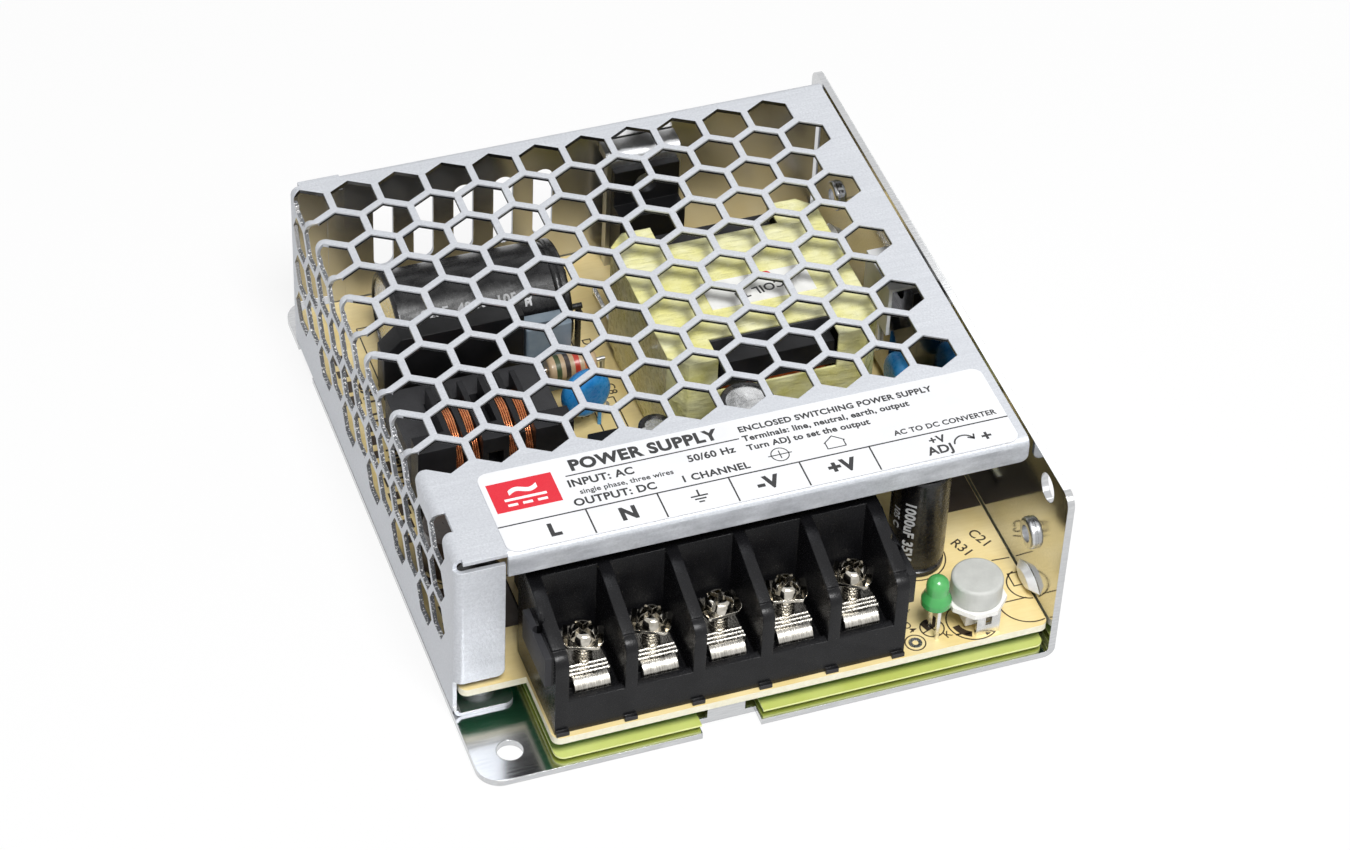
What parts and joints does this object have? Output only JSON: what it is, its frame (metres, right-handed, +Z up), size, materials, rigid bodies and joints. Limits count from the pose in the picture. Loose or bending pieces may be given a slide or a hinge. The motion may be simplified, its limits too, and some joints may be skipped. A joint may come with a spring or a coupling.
{
  "type": "enclosed power supply",
  "caption": "Flat enclosed switching power supply: folded sheet case with honeycomb cover over a populated board, and a row of screw terminals at the front.",
  "frame": {"origin": "under the middle of the case, on the plane that the base plate stands on", "axes": "+X to the right wall, +Y to the rear away from the terminals, +Z up from the base plate to the honeycomb top"},
  "size_m": [0.082, 0.099, 0.0301],
  "materials": {
    "chassis": "satin sheet",
    "cover": "galvanised sheet",
    "label": "white printed film",
    "case_screws": "zinc plated",
    "film": "yellow-green film",
    "board": "tan board with dark print",
    "black_moulding": "fine satin moulding",
    "nickel": "bright nickel plate",
    "green_lens": "tinted lens",
    "tinned": "tinned wire",
    "white_moulding": "white moulding",
    "clear_knob": "milky translucent",
    "black_sleeve": "shrunk sleeve, bare can at the end",
    "black_body": "moulded body",
    "grey_body": "grey-blue box",
    "ferrite": "dark ferrite",
    "copper": "enamelled copper wire",
    "blue_dip": "blue lacquer",
    "tan_body": "tan lacquer with colour bands",
    "yellow_tape": "yellow polyester tape",
    "paper": "white paper",
    "sheet_bright": "bright sheet",
    "brown_body": "brown cap"
  },
  "bodies": {
    "supply": {"chassis": "chassis", "cover": "cover", "label": "label", "cover_screws": "case_screws", "insulation_film": "film", "circuit_board": "board", "terminal_block": "black_moulding", "terminal_plate_1": "nickel", "terminal_plate_2": "nickel", "terminal_plate_3": "nickel", "terminal_plate_4": "nickel", "terminal_plate_5": "nickel", "led_lens": "green_lens", "led_leads": "tinned", "trimmer_base": "white_moulding", "trimmer_legs": "tinned", "output_capacitor_front": "black_sleeve", "output_capacitor_rear": "black_sleeve", "bulk_capacitor": "black_sleeve", "x_capacitor": "black_body", "film_capacitor": "grey_body", "choke_core": "ferrite", "choke_bobbin": "black_moulding", "choke_windings": "copper", "disc_capacitor_left": "blue_dip", "disc_capacitor_right": "blue_dip", "banded_resistor": "tan_body", "transformer_core": "ferrite", "transformer_bobbin": "black_moulding", "transformer_winding": "copper", "transformer_tape": "yellow_tape", "transformer_tag": "paper", "primary_heatsink": "sheet_bright", "primary_switch": "black_body", "output_rectifier": "black_body", "rectifier_clip": "tinned", "inrush_limiter": "black_body", "fuse": "brown_body", "bridge_rectifier": "black_body", "optocoupler": "black_body", "output_choke": "black_sleeve", "auxiliary_capacitor": "black_sleeve", "jumper_wires": "tinned"},
    "trimmer_knob": {"trimmer_knob": "clear_knob"},
    "clamp_1": {"clamp_washer_1": "nickel"},
    "screw_1": {"terminal_screw_1": "nickel"},
    "clamp_2": {"clamp_washer_2": "nickel"},
    "screw_2": {"terminal_screw_2": "nickel"},
    "clamp_3": {"clamp_washer_3": "nickel"},
    "screw_3": {"terminal_screw_3": "nickel"},
    "clamp_4": {"clamp_washer_4": "nickel"},
    "screw_4": {"terminal_screw_4": "nickel"},
    "clamp_5": {"clamp_washer_5": "nickel"},
    "screw_5": {"terminal_screw_5": "nickel"}
  },
  "joints": [
    {"name": "trimmer_turn", "type": "hinge", "parent": "supply", "child": "trimmer_knob", "pos_m": [0.0302, -0.045, 0.0125], "axis": [0, 0, 1], "range_deg": [-115, 115]},
    {"name": "clamp_slide_1", "type": "slide", "parent": "supply", "child": "clamp_1", "axis": [0, 0, 1], "range_m": [-0.002, 0.001]},
    {"name": "screw_turn_1", "type": "hinge", "parent": "clamp_1", "child": "screw_1", "pos_m": [-0.025, -0.0421, 0.017], "axis": [0, 0, 1], "range_deg": [-1440, 720]},
    {"name": "clamp_slide_2", "type": "slide", "parent": "supply", "child": "clamp_2", "axis": [0, 0, 1], "range_m": [-0.002, 0.001]},
    {"name": "screw_turn_2", "type": "hinge", "parent": "clamp_2", "child": "screw_2", "pos_m": [-0.0155, -0.0421, 0.017], "axis": [0, 0, 1], "range_deg": [-1440, 720]},
    {"name": "clamp_slide_3", "type": "slide", "parent": "supply", "child": "clamp_3", "axis": [0, 0, 1], "range_m": [-0.002, 0.001]},
    {"name": "screw_turn_3", "type": "hinge", "parent": "clamp_3", "child": "screw_3", "pos_m": [-0.006, -0.0421, 0.017], "axis": [0, 0, 1], "range_deg": [-1440, 720]},
    {"name": "clamp_slide_4", "type": "slide", "parent": "supply", "child": "clamp_4", "axis": [0, 0, 1], "range_m": [-0.002, 0.001]},
    {"name": "screw_turn_4", "type": "hinge", "parent": "clamp_4", "child": "screw_4", "pos_m": [0.0035, -0.0421, 0.017], "axis": [0, 0, 1], "range_deg": [-1440, 720]},
    {"name": "clamp_slide_5", "type": "slide", "parent": "supply", "child": "clamp_5", "axis": [0, 0, 1], "range_m": [-0.002, 0.001]},
    {"name": "screw_turn_5", "type": "hinge", "parent": "clamp_5", "child": "screw_5", "pos_m": [0.013, -0.0421, 0.017], "axis": [0, 0, 1], "range_deg": [-1440, 720]}
  ],
  "couplings": [
    {"joint": "screw_turn_1", "follows": "clamp_slide_1", "rad_per_m": 12566},
    {"joint": "screw_turn_2", "follows": "clamp_slide_2", "rad_per_m": 12566},
    {"joint": "screw_turn_3", "follows": "clamp_slide_3", "rad_per_m": 12566},
    {"joint": "screw_turn_4", "follows": "clamp_slide_4", "rad_per_m": 12566},
    {"joint": "screw_turn_5", "follows": "clamp_slide_5", "rad_per_m": 12566}
  ]
}
